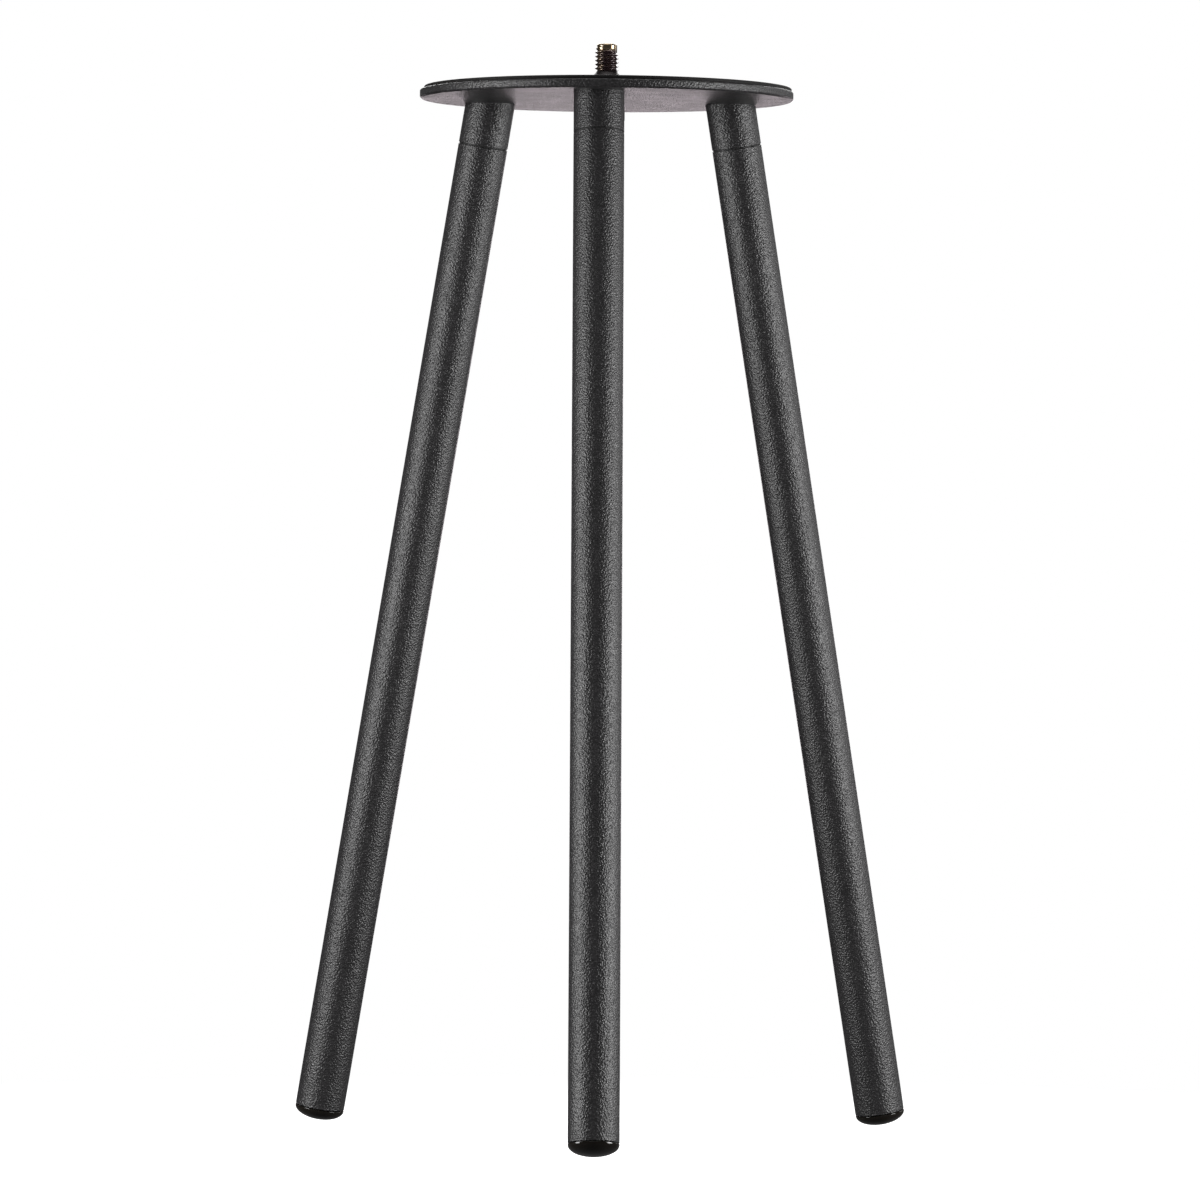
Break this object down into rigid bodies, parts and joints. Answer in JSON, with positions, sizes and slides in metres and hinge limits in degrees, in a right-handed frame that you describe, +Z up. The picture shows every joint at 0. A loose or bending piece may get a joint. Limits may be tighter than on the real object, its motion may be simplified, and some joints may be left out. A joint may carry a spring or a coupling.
{
  "type": "tripod stand",
  "caption": "Low table-height tripod stand: round plate with a rubber pad and an upright threaded stud, on splayed round legs that unscrew from angled sockets and end in domed feet.",
  "frame": {"origin": "centre of the stud's end face, the highest point of the stand, on the stand's axis; the ground is at z = -0.4375 m", "axes": "+Z up along the stud, -Y towards leg 1, +X to the right of leg 1 seen from the front"},
  "size_m": [0.2491, 0.2232, 0.4375],
  "materials": {
    "powder_coat": "black powder coat with a fine sand texture, satin",
    "pad_rubber": "matte black sheet rubber",
    "yellow_zinc": "yellow zinc plated, slightly tarnished",
    "bright_zinc": "bright zinc plated",
    "black_steel": "black oxide",
    "washer_nylon": "matte black nylon",
    "foot_plastic": "smooth glossy black"
  },
  "bodies": {
    "stand_top": {"top_plate": "powder_coat", "top_pad": "pad_rubber", "centre_bolt": "yellow_zinc", "bolt_washer": "bright_zinc", "stud_collar": "black_steel", "leg_socket_1": "powder_coat", "socket_screw_1": "bright_zinc", "leg_socket_2": "powder_coat", "socket_screw_2": "bright_zinc", "leg_socket_3": "powder_coat", "socket_screw_3": "bright_zinc"},
    "washer_1": {"seam_washer_1": "washer_nylon"},
    "leg_1": {"leg_tube_1": "powder_coat", "leg_insert_1": "bright_zinc", "leg_stud_1": "bright_zinc", "foot_cap_1": "foot_plastic"},
    "washer_2": {"seam_washer_2": "washer_nylon"},
    "leg_2": {"leg_tube_2": "powder_coat", "leg_insert_2": "bright_zinc", "leg_stud_2": "bright_zinc", "foot_cap_2": "foot_plastic"},
    "washer_3": {"seam_washer_3": "washer_nylon"},
    "leg_3": {"leg_tube_3": "powder_coat", "leg_insert_3": "bright_zinc", "leg_stud_3": "bright_zinc", "foot_cap_3": "foot_plastic"}
  },
  "joints": [
    {"name": "leg_1_travel", "type": "slide", "parent": "stand_top", "child": "washer_1", "axis": [0.0132, -0.183, -0.983], "range_m": [0, 0.00876]},
    {"name": "leg_1_turn", "type": "hinge", "parent": "washer_1", "child": "leg_1", "pos_m": [0.00022, -0.05941, -0.03921], "axis": [0.0132, -0.183, -0.983], "range_deg": [0, 2520]},
    {"name": "leg_2_travel", "type": "slide", "parent": "stand_top", "child": "washer_2", "axis": [0.1518, 0.1029, -0.983], "range_m": [0, 0.00876]},
    {"name": "leg_2_turn", "type": "hinge", "parent": "washer_2", "child": "leg_2", "pos_m": [0.05134, 0.0299, -0.03921], "axis": [0.1518, 0.1029, -0.983], "range_deg": [0, 2520]},
    {"name": "leg_3_travel", "type": "slide", "parent": "stand_top", "child": "washer_3", "axis": [-0.1651, 0.08, -0.983], "range_m": [0, 0.00876]},
    {"name": "leg_3_turn", "type": "hinge", "parent": "washer_3", "child": "leg_3", "pos_m": [-0.05156, 0.02951, -0.03921], "axis": [-0.1651, 0.08, -0.983], "range_deg": [0, 2520]}
  ],
  "couplings": [
    {"joint": "leg_1_travel", "follows": "leg_1_turn", "m_per_rad": 0.00019894},
    {"joint": "leg_2_travel", "follows": "leg_2_turn", "m_per_rad": 0.00019894},
    {"joint": "leg_3_travel", "follows": "leg_3_turn", "m_per_rad": 0.00019894}
  ]
}
